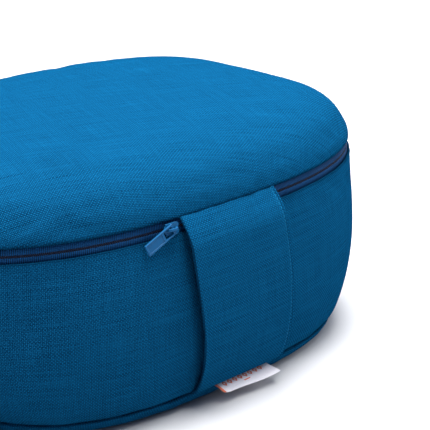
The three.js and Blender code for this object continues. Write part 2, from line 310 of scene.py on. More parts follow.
def settle(piece, held, pressure):
    """Lets the filling press a panel out between its seams, never further than the cap."""
    scene = bpy.context.scene
    rest = np.zeros(len(piece.data.vertices) * 3)
    piece.data.vertices.foreach_get("co", rest)
    group = piece.vertex_groups.new(name="held")
    group.add([int(k) for k in np.flatnonzero(held)], 1, "REPLACE")
    cloth = piece.modifiers.new("Cloth", "CLOTH")
    for key, value in {
        "quality": 6,
        "mass": 0.3,
        "tension_stiffness": 30,
        "compression_stiffness": 30,
        "shear_stiffness": 8,
        "bending_stiffness": 0.4,
        "use_pressure": True,
        "uniform_pressure_force": pressure,
        "vertex_group_mass": group.name,
        "shrink_min": -SETTLE_GROWTH,
    }.items():
        setattr(cloth.settings, key, value)
    cloth.settings.effector_weights.gravity = 0
    for step in range(1, SETTLE_FRAMES + 1):
        scene.frame_set(step)
    settled = piece.evaluated_get(bpy.context.evaluated_depsgraph_get())
    moved = np.zeros(len(rest))
    settled.data.vertices.foreach_get("co", moved)
    shift = (moved - rest).reshape(-1, 3)
    distance = np.linalg.norm(shift, axis=1, keepdims=True)
    shift *= np.minimum(1, SETTLE_CAP / np.maximum(distance, 1e-9))
    piece.modifiers.remove(cloth)
    piece.vertex_groups.remove(group)
    piece.data.vertices.foreach_set("co", rest + shift.ravel())
    piece.data.update()
    scene.frame_set(1)


def path_line(name, points, outwards):
    """A row of joined points that knows which way is out, for teeth or stitches to follow."""
    mesh = bpy.data.meshes.new(name)
    edges = [(k, k + 1) for k in range(len(points) - 1)]
    mesh.from_pydata([tuple(p) for p in points], edges, [])
    layer = mesh.attributes.new("outwards", "FLOAT_VECTOR", "POINT")
    layer.data.foreach_set("vector", np.asarray(outwards, np.float32).ravel())
    return link(bpy.data.objects.new(name, mesh))


BEAD_SIZES = ("Spacing", "Along", "Across", "Depth", "Unevenness")


def bead_row_tree(name):
    """Geometry Nodes that lay small rounded beads along a line: teeth, or the stitches of a row."""
    tree = bpy.data.node_groups.new(name, "GeometryNodeTree")
    face = tree.interface
    kinds = {"Geometry": "Geometry", "Seed": "Int", "Material": "Material"}
    for label in ("Geometry", *BEAD_SIZES, "Seed", "Material"):
        kind = kinds.get(label, "Float")
        face.new_socket(label, in_out="INPUT", socket_type="NodeSocket" + kind)
    face.new_socket("Geometry", in_out="OUTPUT", socket_type="NodeSocketGeometry")

    def add(kind, out, settings=None, **inputs):
        """Adds a node, fills its sockets and gives back one of its outputs."""
        node = tree.nodes.new(kind)
        for key, value in (settings or {}).items():
            setattr(node, key, value)
        for key, value in inputs.items():
            socket = node.inputs[key.replace("_", " ")]
            if isinstance(value, bpy.types.NodeSocket):
                tree.links.new(value, socket)
            else:
                socket.default_value = value
        return node.outputs[out]

    source = tree.nodes.new("NodeGroupInput").outputs
    curve = add("GeometryNodeMeshToCurve", "Curve", Mesh=source["Geometry"])
    dots = tree.nodes.new("GeometryNodeCurveToPoints")
    dots.mode = "LENGTH"
    tree.links.new(curve, dots.inputs["Curve"])
    tree.links.new(source["Spacing"], dots.inputs["Length"])
    outwards = add("GeometryNodeInputNamedAttribute", "Attribute", {"data_type": "FLOAT_VECTOR"},
                   Name="outwards")
    along = add("FunctionNodeAlignRotationToVector", "Rotation", {"axis": "Z"},
                Vector=dots.outputs["Tangent"])
    facing = add("FunctionNodeAlignRotationToVector", "Rotation", {"axis": "X", "pivot_axis": "Z"},
                 Rotation=along, Vector=outwards)
    chance = add("FunctionNodeRandomValue", "Value", {"data_type": "FLOAT_VECTOR"}, Seed=source["Seed"],
                 Min=(-1, -1, -1), Max=(1, 1, 1))
    spread = add("ShaderNodeVectorMath", "Vector", {"operation": "SCALE"}, Vector=chance,
                 Scale=source["Unevenness"])
    wobble = add("FunctionNodeEulerToRotation", "Rotation", Euler=spread)
    turned = add("FunctionNodeRotateRotation", "Rotation", {"rotation_space": "LOCAL"}, Rotation=facing,
                 Rotate_By=wobble)
    bead = add("GeometryNodeMeshUVSphere", "Mesh", Segments=8, Rings=6, Radius=0.5)
    size = add("ShaderNodeCombineXYZ", "Vector", X=source["Depth"], Y=source["Across"], Z=source["Along"])
    placed = add("GeometryNodeInstanceOnPoints", "Instances", Points=dots.outputs["Points"], Instance=bead,
                 Rotation=turned, Scale=size)
    real = add("GeometryNodeRealizeInstances", "Geometry", Geometry=placed)
    smooth = add("GeometryNodeSetShadeSmooth", "Geometry", Geometry=real)
    coloured = add("GeometryNodeSetMaterial", "Geometry", Geometry=smooth, Material=source["Material"])
    tree.links.new(coloured, tree.nodes.new("NodeGroupOutput").inputs["Geometry"])
    return tree


def bead_row(name, line, material, **sizes):
    """Beads along a line, as one plain mesh."""
    tree = bpy.data.node_groups.get("Bead row") or bead_row_tree("Bead row")
    modifier = line.modifiers.new("Beads", "NODES")
    modifier.node_group = tree
    values = dict(sizes, Material=material)
    for item in tree.interface.items_tree:
        if item.in_out == "INPUT" and item.name in values:
            modifier[item.identifier] = values[item.name]
    bpy.context.view_layer.update()
    ready = line.evaluated_get(bpy.context.evaluated_depsgraph_get())
    mesh = bpy.data.meshes.new_from_object(ready)
    mesh.name = name
    bpy.data.objects.remove(line)
    if not mesh.polygons:
        raise RuntimeError(f"{name} has no beads")
    return link(bpy.data.objects.new(name, mesh))


def settle_in(piece, material, body, nodes):
    """Gives a finished piece its material and puts it on its body, in place of its plain solids."""
    piece.data.materials.clear()
    piece.data.materials.append(material)
    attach(piece, body)
    if nodes:
        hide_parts(*nodes)


def finish_panel(piece, node):
    """Ends each of the cover's panels in the same way."""
    thicken(piece, bpy.context.scene.cushion_shape.cloth)
    settle_in(piece, canvas_finish(), "cushion", [node])


# ---- materials

def maths(operation, swapped=False):
    """A method of Wire that adds one maths node."""

    def method(self, *others):
        values = (self, *others)
        if swapped:
            values = reversed(values)
        return self.finish.node("ShaderNodeMath", {"operation": operation}, *values)

    return method


class Wire:
    """A shader value that plain expressions can add to, multiply and compare."""

    def __init__(self, finish, socket):
        self.finish = finish
        self.socket = socket

    __add__ = maths("ADD")
    __radd__ = maths("ADD", swapped=True)
    __sub__ = maths("SUBTRACT")
    __rsub__ = maths("SUBTRACT", swapped=True)
    __mul__ = maths("MULTIPLY")
    __pow__ = maths("POWER")
    __abs__ = maths("ABSOLUTE")
    sine = maths("SINE")
    fraction = maths("FRACT")
    most = maths("MAXIMUM")
    below = maths("LESS_THAN")
    above = maths("GREATER_THAN")

    def between(self, low, high):
        """0 at low, 1 at high, smooth in between."""
        settings = {"interpolation_type": "SMOOTHSTEP", "clamp": True}
        return self.finish.node("ShaderNodeMapRange", settings, self, low, high, 0.0, 1.0)


class Finish:
    """A material whose nodes are added by plain calls."""

    def __init__(self, name):
        self.material = bpy.data.materials.new(name)
        self.material.use_nodes = True
        self.tree = self.material.node_tree
        self.shader = self.tree.nodes["Principled BSDF"]

    def node(self, kind, settings, *values, out=0, **named):
        """Adds a node: its settings first, then the values or links of its sockets."""
        made = self.tree.nodes.new(kind)
        for key, value in settings.items():
            setattr(made, key, value)
        filled = list(enumerate(values)) + [(key.replace("_", " "), value) for key, value in named.items()]
        for key, value in filled:
            self.fill(made.inputs[key], value)
        return Wire(self, made.outputs[out])

    def fill(self, socket, value):
        """Links a wire to a socket or sets its value; a plain colour is opaque."""
        if isinstance(value, Wire):
            self.tree.links.new(value.socket, socket)
        elif hasattr(socket.default_value, "__len__") and len(value) < len(socket.default_value):
            socket.default_value = (*value, 1)
        else:
            socket.default_value = value

    def cloth_uv(self):
        """The piece's cloth coordinates, in metres across and along its threads."""
        uv = self.node("ShaderNodeUVMap", {"uv_map": "cloth"})
        u, v = (self.node("ShaderNodeSeparateXYZ", {}, uv, out=axis) for axis in (0, 1))
        return u, v, uv

    def place(self):
        """The piece's own place, in metres."""
        return self.node("ShaderNodeTexCoord", {}, out=3)

    def attribute(self, name):
        return self.node("ShaderNodeAttribute", {"attribute_name": name}, out=2)

    def vector(self, x, y, z=0.0):
        return self.node("ShaderNodeCombineXYZ", {}, x, y, z)

    def noise(self, where, scale, detail=2.0, roughness=0.5):
        return self.node("ShaderNodeTexNoise", {}, Vector=where, Scale=scale, Detail=detail,
                         Roughness=roughness)

    def mix(self, factor, one, other):
        """Mixes two colours."""
        made = self.tree.nodes.new("ShaderNodeMix")
        made.data_type = "RGBA"
        sockets = {s.identifier: s for s in made.inputs}
        for key, value in (("Factor_Float", factor), ("A_Color", one), ("B_Color", other)):
            self.fill(sockets[key], value)
        return Wire(self, next(s for s in made.outputs if s.identifier == "Result_Color"))

    def bump(self, height, distance, strength):
        return self.node("ShaderNodeBump", {}, Strength=strength, Distance=distance, Height=height)

    def feed(self, **named):
        """Links or sets the shader's own sockets."""
        for key, value in named.items():
            self.fill(self.shader.inputs[key.replace("_", " ")], value)
        return self.material


def scaled(tone, factor):
    return tuple(min(1.0, c * factor) for c in tone)


CANVAS_PITCH = 1.2 * MM
CANVAS_RELIEF = 0.65 * MM


def canvas(finish, tone_high, tone_low):
    """Coarse plain-woven cotton: thread over thread, uneven threads, slubs, a little fade and painted shade
    along its seams.
    """
    u, v, uv = finish.cloth_uv()
    drift = finish.noise(uv, 38.0, 2.0) - 0.5
    across = (u * (1 / CANVAS_PITCH) + drift * 0.8) * math.pi
    along = (v * (1 / CANVAS_PITCH) + drift * 0.6) * math.pi
    warp = abs(across.sine())
    weft = abs(along.sine())
    over = (across.sine() * along.sine()).between(-0.2, 0.2)
    pillow = over * (warp**0.9 * weft**0.45) + (1 - over) * (warp**0.45 * weft**0.9) * 0.42
    warp_streak = finish.noise(finish.vector(u * 900.0, v * 22.0), 1.0, 3.0)
    weft_streak = finish.noise(finish.vector(u * 22.0, v * 900.0), 1.0, 3.0)
    streak = over * warp_streak + (1 - over) * weft_streak
    slub = finish.noise(finish.vector(u * 120.0, v * 1400.0), 1.0, 2.0).between(0.62, 0.8)
    mottle = finish.noise(uv, 16.0, 3.0)
    fibre = finish.noise(uv, 5200.0, 2.0)
    tone = finish.mix(pillow.between(0.16, 0.66), tone_low, tone_high)
    tone = finish.mix((streak - 0.5) * 1.2 + 0.25, tone, scaled(tone_high, 1.3))
    tone = finish.mix((1 - mottle) * 0.3, tone, scaled(tone_high, 0.7))
    tone = finish.mix(slub * 0.25, tone, scaled(tone_high, 1.5))
    # Painted shade along the seams: where the piece's seam distance is under 2.2 mm, the canvas is mixed
    # towards a dark tone.
    painted_seam_shade = 1 - finish.attribute("seam").between(0.0, 2.2 * MM)
    tone = finish.mix(painted_seam_shade * 0.6, tone, scaled(tone_low, 0.4))
    height = pillow + streak * 0.35 + fibre * 0.12 + slub * 0.3
    return finish.feed(Base_Color=tone, Roughness=0.88 + (mottle - 0.5) * 0.1,
                       Normal=finish.bump(height, CANVAS_RELIEF, 0.9),
                       Specular_IOR_Level=0.0)


def ribbed_tape(finish, tone):
    """Zip tape: fine ribs across it, soft cords along it and uneven threads."""
    u, v, uv = finish.cloth_uv()
    rib_pitch = 1.35 * MM
    cord_pitch = 1.1 * MM
    rib = abs((u * (math.pi / rib_pitch)).sine())
    cord = abs((v * (math.pi / cord_pitch)).sine())
    uneven = finish.noise(finish.vector(u * 1400.0, v * 60.0), 1.0, 2.0)
    mottle = finish.noise(uv, 45.0, 2.0)
    made = finish.mix(rib.between(0.45, 0.9), scaled(tone, 0.2), scaled(tone, 2.6))
    made = finish.mix((uneven - 0.4) * 0.8, made, scaled(tone, 1.7))
    made = finish.mix(mottle * 0.25, made, scaled(tone, 0.7))
    normal = finish.bump(rib + cord * 0.3 + uneven * 0.3, 0.16 * MM, 0.9)
    return finish.feed(Base_Color=made, Roughness=0.62 + mottle * 0.15, Normal=normal,
                       Specular_IOR_Level=0.04)


def tooth_plastic(finish, tone):
    """Satin plastic of the zip's teeth, a little uneven from tooth to tooth."""
    where = finish.place()
    cloud = finish.noise(where, 420.0, 2.0)
    fine = finish.noise(where, 5200.0, 2.0)
    made = finish.mix(cloud, scaled(tone, 0.6), scaled(tone, 1.6))
    return finish.feed(Base_Color=made, Roughness=0.42 + cloud * 0.2,
                       Normal=finish.bump(fine, 0.03 * MM, 0.6), Specular_IOR_Level=0.15)


def worn_paint_and_painted_light(finish, tone, metal):
    """Satin paint on a casting, thin on raised edges where the metal shows, with a painted highlight on
    those edges, painted shade in its hollows, specks, rubbed spots and fine scratches.
    """
    where = finish.place()
    edge = finish.node("ShaderNodeNewGeometry", {}, out="Pointiness")
    cloud = finish.noise(where, 260.0, 4.0, 0.6)
    speck = finish.noise(where, 1500.0, 3.0, 0.6)
    scratch = finish.noise(finish.node("ShaderNodeMapping", {}, Vector=where, Scale=(300.0, 2400.0, 3800.0)),
                           1.0, 2.0)
    worn = ((edge - 0.5) * 5.0 + (speck - 0.5) * 0.8).between(0.55, 1.1)
    # Mask for painted shade: sunk is 1 in the casting's hollows.
    sunk = (0.5 - edge).between(0.0, 0.05)
    made = finish.mix(cloud * 0.5, scaled(tone, 0.8), scaled(tone, 1.3))
    # Painted highlight: raised edges are mixed towards a lighter tone; then painted shade darkens the
    # hollows.
    made = finish.mix((edge - 0.5).between(0.0, 0.1) * 0.5, made, scaled(tone, 2.2))
    made = finish.mix(sunk * 0.75, made, scaled(tone, 0.3))
    made = finish.mix(worn * 0.2, made, scaled(metal, 0.8))
    rough = 0.36 + cloud * 0.12 + scratch.between(0.6, 0.8) * 0.15
    height = speck * 0.5 + cloud
    return finish.feed(Base_Color=made, Roughness=rough, Metallic=worn * 0.3,
                       Normal=finish.bump(height, 0.05 * MM, 0.5),
                       Coat_Weight=0.03, Coat_Roughness=0.35, Specular_IOR_Level=0.15)


def twisted_thread(finish, tone):
    """Sewing thread with its twist."""
    where = finish.place()
    twist = finish.node("ShaderNodeTexWave", {"bands_direction": "DIAGONAL"}, Vector=where, Scale=900.0,
                        Distortion=1.5, out=1)
    fuzz = finish.noise(where, 3000.0, 2.0)
    made = finish.mix(twist * 0.6 + fuzz * 0.3, scaled(tone, 0.6), scaled(tone, 1.6))
    return finish.feed(Base_Color=made, Roughness=0.6 + fuzz * 0.2,
                       Normal=finish.bump(twist, 0.08 * MM, 0.8), Specular_IOR_Level=0.08)


def label_satin(finish, ground, mark):
    """Woven satin label: fine lines, a row of plain lozenges, a dash and a coloured fold."""
    u, v, uv = finish.cloth_uv()
    lines = abs((v * (math.pi / (0.28 * MM))).sine())
    picks = abs((u * (math.pi / (0.34 * MM))).sine())
    mottle = finish.noise(uv, 160.0, 3.0)
    lozenge_pitch = 5.1 * MM
    lozenge_height = 5.6 * MM
    row = u * (1 / lozenge_pitch)
    slot_x = abs(row.fraction() - 0.5)
    slot_y = abs(v - 4.4 * MM) * (1 / lozenge_height)
    lozenge = (slot_x + slot_y).below(0.43) * (1 - (slot_x + slot_y).below(0.15))
    inside = u.above(6 * MM) * u.below(47 * MM)
    dash = (abs(v - 8.3 * MM)).below(0.45 * MM) * u.above(23 * MM) * u.below(29 * MM)
    folded = u.below(2.2 * MM)
    marks = (lozenge * inside).most(dash).most(folded)
    made = finish.mix(lines * 0.35, scaled(ground, 0.82), ground)
    made = finish.mix(mottle * 0.3, made, scaled(ground, 0.8))
    made = finish.mix(marks * 0.92, made, mark)
    height = lines * 0.6 + picks * 0.4 + marks * 0.8
    return finish.feed(Base_Color=made, Roughness=0.55 + mottle * 0.15,
                       Normal=finish.bump(height, 0.06 * MM, 0.7), Sheen_Weight=0.15)


def plain_cotton(finish, tone):
    """Unbleached cotton of the inner bag."""
    where = finish.place()
    flecks = finish.noise(where, 700.0, 3.0).between(0.66, 0.74)
    mottle = finish.noise(where, 30.0, 3.0)
    weave = finish.node("ShaderNodeTexVoronoi", {}, Vector=where, Scale=1500.0)
    made = finish.mix(mottle * 0.4, tone, scaled(tone, 0.78))
    made = finish.mix(flecks * 0.5, made, (0.28, 0.2, 0.12))
    return finish.feed(Base_Color=made, Roughness=0.9 - mottle * 0.1,
                       Normal=finish.bump(weave, 0.1 * MM, 0.7), Sheen_Weight=0.1)


def dry_husks(finish, tone):
    """A bed of small dry husks: angular cells, light away from their borders, with painted shade in the gaps
    between them.
    """
    where = finish.place()
    husks = {"Vector": where, "Scale": 230.0}
    cells = finish.node("ShaderNodeTexVoronoi", {}, **husks)
    husk_gap_for_painted_shade = finish.node("ShaderNodeTexVoronoi", {"feature": "DISTANCE_TO_EDGE"}, **husks)
    mottle = finish.noise(where, 140.0, 3.0)
    made = finish.mix(mottle, scaled(tone, 0.4), scaled(tone, 1.6))
    # Painted shade: the husks darken towards the gaps between them.
    made = finish.mix(husk_gap_for_painted_shade.between(0.0, 0.12), scaled(tone, 0.15), made)
    return finish.feed(Base_Color=made, Roughness=0.6 + mottle * 0.3,
                       Normal=finish.bump(cells, 1.2 * MM, 0.9), Specular_IOR_Level=0.4)


def pale_ground(finish):
    """The plain pale floor."""
    soft = finish.noise(finish.place(), 3.0, 2.0)
    made = finish.mix(soft * 0.1, (0.52, 0.52, 0.53), (0.49, 0.49, 0.5))
    return finish.feed(Base_Color=made, Roughness=0.9)


def kept(name, maker, *tone_names):
    """A finish that several pieces share, made once from the cushion's colours."""
    tones = bpy.context.scene.cushion_colours
    chosen = [tuple(getattr(tones, key)) for key in tone_names]
    return bpy.data.materials.get(name) or maker(Finish(name), *chosen)


def canvas_finish():
    return kept("Blue canvas", canvas, "cloth_high", "cloth_low")


def blue_paint():
    return kept("Blue paint", worn_paint_and_painted_light, "paint", "metal")


# ---- pieces

def dome_reach(angle, part, height):
    """Distance over the cloth from the dome's middle to each of its points."""
    samples = np.linspace(0, 1, 121)
    run = wall_radius(angle, TOP_SEAM_Z + 0 * angle)[:, None] * np.diff(samples)[None, :]
    climb = np.diff(crown_rise(samples) * height)[None, :]
    along = np.hypot(run, climb)
    total = np.hstack([np.zeros((len(angle), 1)), np.cumsum(along, axis=1)])
    place_at = part * (len(samples) - 1)
    low = np.minimum(place_at.astype(int), len(samples) - 2)[:, None]
    before = np.take_along_axis(total, low, axis=1)[:, 0]
    after = np.take_along_axis(total, low + 1, axis=1)[:, 0]
    return before + (after - before) * (place_at - low[:, 0])


# Lowest and highest pitch of the seams' puckers and of the top panel's dents.
PUCKER_PITCH = (0.5, 1.5)
DENT_PITCH = (0.5, 1.6)
DENT_REACH = 0.028
TOP_RINGS = 50
ROLL_RINGS = 4
# How far back and how far up each turned-in ring of a panel's edge lies from its seam, in millimetres.
TOP_TUCK = ((0.3, 0.7), (1.0, 0.15), (2.0, 0.1), (3.2, 0.3))
SIDE_LOW_TUCK = ((3.4, -0.3), (2.0, -0.5), (0.9, -0.2), (0.2, 0.7))
SIDE_HIGH_TUCK = ((-0.45, -1.6), (-0.45, -0.6), (0.1, 0.1), (1.0, -0.3), (1.8, -1.8))
BASE_TUCK = ((0.7, 0.5), (1.8, 0.6), (3.2, 0.3))


class CUSHION_OT_top_panel(bpy.types.Operator):
    """Makes the domed top panel, its edge turned in at the top seam"""

    bl_idname = "cushion.top_panel"
    bl_label = "Top panel"

    def execute(self, context):
        shape = context.scene.cushion_shape
        ring, angle, faces = round_grid(TOP_RINGS)
        dome_rings = TOP_RINGS - ROLL_RINGS
        part = 1 - (1 - np.minimum(ring / dome_rings, 1)) ** 1.6
        edge_lift = 1.4 * MM
        z = TOP_SEAM_Z + edge_lift + (CROWN_Z - TOP_SEAM_Z - edge_lift) * crown_rise(part)
        inset = np.zeros(len(ring))
        for k, (back, up) in enumerate(TOP_TUCK):
            turned = ring == dome_rings + 1 + k
            inset[turned] = back * MM
            z[turned] = TOP_SEAM_Z + up * MM
        radius = part * wall_radius(angle, TOP_SEAM_Z + 0 * angle) - inset
        flat = place(angle, radius, z)
        from_seam = (1 - part) * TOP_HIGH.y
        lump = ripple(flat[:, 0] * 34, flat[:, 1] * 34, 3) * shape.lump * (1 - part**6)
        reach = np.exp(-from_seam / (shape.pucker_reach * 0.8))
        pucker = ripple(angle * 46, 0 * angle, 5, *DENT_PITCH) * shape.pucker * reach
        dent = ripple(angle * 11, 0 * angle, 6, *DENT_PITCH) * np.exp(-from_seam / DENT_REACH)
        flat[:, 2] += lump + dent * shape.lump * 2.2 * (ring <= dome_rings) * (from_seam / 0.01).clip(0, 1)
        flat[:, 0] += pucker * np.cos(angle) * (ring <= dome_rings)
        flat[:, 1] += pucker * np.sin(angle) * (ring <= dome_rings)
        # Seam distance for the canvas's painted seam shade; the turned-in rings get 0, the full painted
        # shade.
        seam = np.where(ring <= dome_rings, from_seam + (z - TOP_SEAM_Z) * 0.5, 0)
        reach_over = dome_reach(angle, part, CROWN_Z - TOP_SEAM_Z) + inset
        cloth_uv = polar(reach_over, angle - shape.grain_angle)
        piece = mesh_piece("cover_top", flat, faces, cloth_uv, seam)
        settle(piece, ring >= dome_rings - 1, pressure=1.2)
        finish_panel(piece, "top_panel")
        return {"FINISHED"}


SIDE_COLUMNS = 340
SIDE_ROWS = 34


class CUSHION_OT_side_panel(bpy.types.Operator):
    """Makes the side panel from seam to seam, its ends turned in where they are sewn together"""

    bl_idname = "cushion.side_panel"
    bl_label = "Side panel"

    def execute(self, context):
        shape = context.scene.cushion_shape
        top = SIDE_TOP_Z + 0.5 * MM
        rows = [(back * MM, BASE_SEAM_Z + up * MM) for back, up in SIDE_LOW_TUCK]
        for k in range(SIDE_ROWS):
            climb = (k + 0.5) / SIDE_ROWS
            rows.append((0.0, BASE_SEAM_Z + 1.2 * MM + (top - BASE_SEAM_Z - 3.4 * MM) * climb))
        rows += [(back * MM, top + up * MM) for back, up in SIDE_HIGH_TUCK]
        inset = np.array([back for back, _ in rows])[:, None]
        z = np.array([up for _, up in rows])[:, None]
        turn = np.linspace(0, math.tau, SIDE_COLUMNS + 1)[None, :]
        angle = shape.join_angle + turn
        radius = wall_radius(angle, z + 0 * angle) - inset
        from_low = np.clip(z - BASE_SEAM_Z, 0, None)
        from_top = np.clip(top - z, 0, None)
        low_reach = np.exp(-from_low / (shape.pucker_reach * 1.7))
        top_reach = np.exp(-from_top / (shape.pucker_reach * 0.7))
        wave_low = ripple(angle * 44, z * 30, 11, *PUCKER_PITCH)
        wave_top = ripple(angle * 52, z * 30, 12, *PUCKER_PITCH)
        radius = radius + shape.pucker * (1.5 * wave_low * low_reach + 0.8 * wave_top * top_reach)
        radius = radius + shape.lump * ripple(angle * 5.5, z * 32, 13) * np.sin(
            np.pi * np.clip(from_low / (top - BASE_SEAM_Z), 0, 1)
        )
        radius_mean = float(np.mean(radius))
        from_join = np.minimum(turn, math.tau - turn) * radius_mean + 0 * z
        groove = np.exp(-((from_join / (1.1 * MM)) ** 2))
        dimple = np.exp(-from_join / (7 * MM)) * (1 + 0.5 * ripple(z * 260, 0 * angle, 17, 0.6))
        radius = radius - 0.25 * MM * groove - 0.2 * MM * dimple
        points = place(angle, radius, z)
        around = run_along(points[20])
        cloth_uv = np.stack([around[None, :] + 0 * z, z + 0 * angle], axis=-1)
        # Seam distance for the canvas's painted seam shade, also along the join; turned-in rows get 0, the
        # full painted shade.
        edge = np.minimum(from_low, from_top) + 0 * angle
        seam = np.minimum(edge, from_join + 1.6 * MM)
        seam = np.where(inset > 0.7 * MM, 0, seam)
        count = len(rows)
        piece = mesh_piece(
            "cover_side",
            points[:, :-1].reshape(-1, 3),
            grid_faces(count, SIDE_COLUMNS, closed=True),
            cloth_uv.reshape(-1, 2),
            seam[:, :-1].ravel(),
            grid_faces(count, SIDE_COLUMNS + 1),
        )
        held = np.zeros((count, SIDE_COLUMNS), bool)
        held[: len(SIDE_LOW_TUCK) + 1] = True
        held[-len(SIDE_HIGH_TUCK) - 1 :] = True
        settle(piece, held.ravel(), pressure=1.0)
        finish_panel(piece, "side_panel")
        return {"FINISHED"}


BASE_RINGS = 36


class CUSHION_OT_bottom_panel(bpy.types.Operator):
    """Makes the bottom panel, flat where it stands and turned up to the bottom seam"""

    bl_idname = "cushion.bottom_panel"
    bl_label = "Bottom panel"

    def execute(self, context):
        shape = context.scene.cushion_shape
        ring, angle, faces = round_grid(BASE_RINGS)
        tuck_at = BASE_RINGS - len(BASE_TUCK)
        curve_rings = 10
        curve_share = 0.12
        seam_z = BASE_SEAM_Z - 0.8 * MM
        rise = np.clip((ring - (tuck_at - curve_rings)) / curve_rings, 0, 1)
        part = np.where(
            rise > 0,
            1 - curve_share * (1 - np.sin(rise * math.pi / 2)),
            (1 - curve_share) * ring / (tuck_at - curve_rings),
        )
        z = BASE_LOW.z + (seam_z - BASE_LOW.z) * (1 - np.cos(rise * math.pi / 2))
        inset = np.zeros(len(ring))
        for k, (back, up) in enumerate(BASE_TUCK):
            turned = ring == tuck_at + 1 + k
            inset[turned] = back * MM
            z[turned] = seam_z + up * MM
        radius = part * wall_radius(angle, BASE_SEAM_Z + 0 * angle) - inset
        radius += shape.pucker * 1.2 * rise * ripple(angle * 44, 0 * angle, 19, *PUCKER_PITCH)
        points = place(angle, radius, z)
        # Seam distance for the canvas's painted seam shade; the turned-in rings get 0, the full painted
        # shade.
        seam = np.where(ring <= tuck_at, (seam_z - z) + 0.3 * MM, 0)
        reach = radius + inset + 0.9 * (z - BASE_LOW.z)
        cloth_uv = polar(reach, angle)
        piece = mesh_piece("cover_bottom", points, [tuple(reversed(f)) for f in faces], cloth_uv, seam)
        finish_panel(piece, "bottom_panel")
        return {"FINISHED"}


def band(name, angles, section):
    """A closed section of (inset, height) points carried along the wall, in metres."""
    inset = np.array([back for back, _ in section])[None, :]
    z = np.array([up for _, up in section])[None, :]
    angle = np.asarray(angles)[:, None]
    radius = wall_radius(angle + 0 * z, z + 0 * angle) - inset
    points = place(angle + 0 * z, radius, z)
    middle = place(angle[:, 0], radius[:, 0], z[0, 0] + 0 * angle[:, 0])
    run = run_along(middle)[:, None]
    cloth_uv = np.stack([run + 0 * z, run_along(section)[None, :] + 0 * angle], axis=-1)
    rows, columns = len(angles), len(section)
    faces = [tuple(reversed(f)) for f in grid_faces(rows, columns, closed=True)]
    faces += [tuple(range(columns)), tuple(reversed(range((rows - 1) * columns, rows * columns)))]
    return mesh_piece(name, points.reshape(-1, 3), faces, cloth_uv.reshape(-1, 2))


def zip_angles(steps=520):
    """Angles along the zip, from the strap's left end clockwise to its right end."""
    start = front_angle(PATCH_LOW.x, CHAIN_Z)
    end = front_angle(PATCH_HIGH.x, CHAIN_Z) - math.tau
    return np.linspace(start, end, steps)


class CUSHION_OT_zip(bpy.types.Operator):
    """Makes the zip's two tapes, its rows of teeth and the patch behind the strap"""

    bl_idname = "cushion.zip"
    bl_label = "Zip"

    def execute(self, context):
        sizes = context.scene.cushion_zip
        angles = zip_angles()
        back = sizes.tape_inset
        lip = 0.35 * MM
        thick = 0.8 * MM
        split = 0.8 * MM
        tape = kept("Navy tape", ribbed_tape, "tape")
        for name, side, edge, node in (
            ("zip_tape_upper", 1, TOP_SEAM_Z + 1.2 * MM, "upper_zip_tape"),
            ("zip_tape_lower", -1, SIDE_TOP_Z - 3 * MM, "lower_zip_tape"),
        ):
            section = [
                (back, edge),
                (back - lip * 0.4, CHAIN_Z + side * 2.6 * MM),
                (back - lip, CHAIN_Z + side * (split + 0.5 * MM)),
                (back - lip * 0.3, CHAIN_Z + side * split),
                (back + thick, CHAIN_Z + side * (split + 0.1 * MM)),
                (back + thick, edge),
            ][::side]
            settle_in(band(name, angles, section), tape, "cushion", [node])
        self.teeth(sizes, angles)
        self.patch()
        return {"FINISHED"}

    def teeth(self, sizes, angles):
        plastic = kept("Zip tooth plastic", tooth_plastic, "tooth")
        depth = sizes.tape_inset + 0.2 * MM
        for name, side, node in (
            ("zip_teeth_upper", 1, "upper_zip_coil"),
            ("zip_teeth_lower", -1, "lower_zip_coil"),
        ):
            z = CHAIN_Z + side * 0.42 * MM
            shifted = angles + (0.5 * sizes.tooth_spacing / TOP_HIGH.x if side > 0 else 0)
            radius = wall_radius(shifted, z + 0 * shifted) - depth
            points = place(shifted, radius, z)
            outwards = np.stack([np.cos(shifted), np.sin(shifted), 0 * shifted], axis=-1)
            line = path_line(name + "_line", points, outwards)
            piece = bead_row(name, line, plastic, Spacing=sizes.tooth_spacing, Along=sizes.tooth_width,
                             Across=sizes.tooth_length, Depth=0.9 * MM, Unevenness=0.05, Seed=3)
            settle_in(piece, plastic, "cushion", [node])

    def patch(self):
        reach = np.linspace(PATCH_LOW.x + 0.4 * MM, PATCH_HIGH.x - 0.4 * MM, 24)
        angles = [front_angle(x, CHAIN_Z) for x in reach]
        high, low = TOP_SEAM_Z + 1 * MM, SIDE_TOP_Z - 2.5 * MM
        front, back = 1 * MM, 2 * MM
        piece = band("zip_patch", angles, [(back, high), (back, low), (front, low), (front, high)])
        settle_in(piece, canvas_finish(), "cushion", ["zip_end_patch"])


def slider_axes():
    """The slider's own frame at rest: along its travel, away from the wall and up along the wall."""
    pivot = Vector(JOINTS["tab_lift"]["pos_m"])
    hinge = Vector(JOINTS["tab_lift"]["axis"]).normalized()
    centre = Vector(JOINTS["zip_travel"]["pos_m"])
    out = Vector((pivot.x - centre.x, pivot.y - centre.y, 0)).normalized()
    travel = Vector((out.y, -out.x, 0))
    droop = math.asin(hinge.dot(travel))
    up_wall = (hinge - travel * math.sin(droop)).normalized()
    face = up_wall.cross(travel).normalized()
    return pivot, travel, face, up_wall, droop


def in_frame(points, origin, x_axis, y_axis, z_axis):
    """Points of a piece's own frame, in the cushion's frame."""
    turn = Matrix((x_axis, y_axis, z_axis)).transposed()
    return [origin + turn @ Vector(p) for p in points]


def slab(outlines, y_low, y_high):
    """A flat solid with a closed outline of (x, z) points between two depths."""
    count = len(outlines)
    points = [(x, y_low, z) for x, z in outlines] + [(x, y_high, z) for x, z in outlines]
    faces = [tuple(range(count)), tuple(reversed(range(count, 2 * count)))]
    for k in range(count):
        n = (k + 1) % count
        faces.append((k, count + k, count + n, n))
    return points, faces


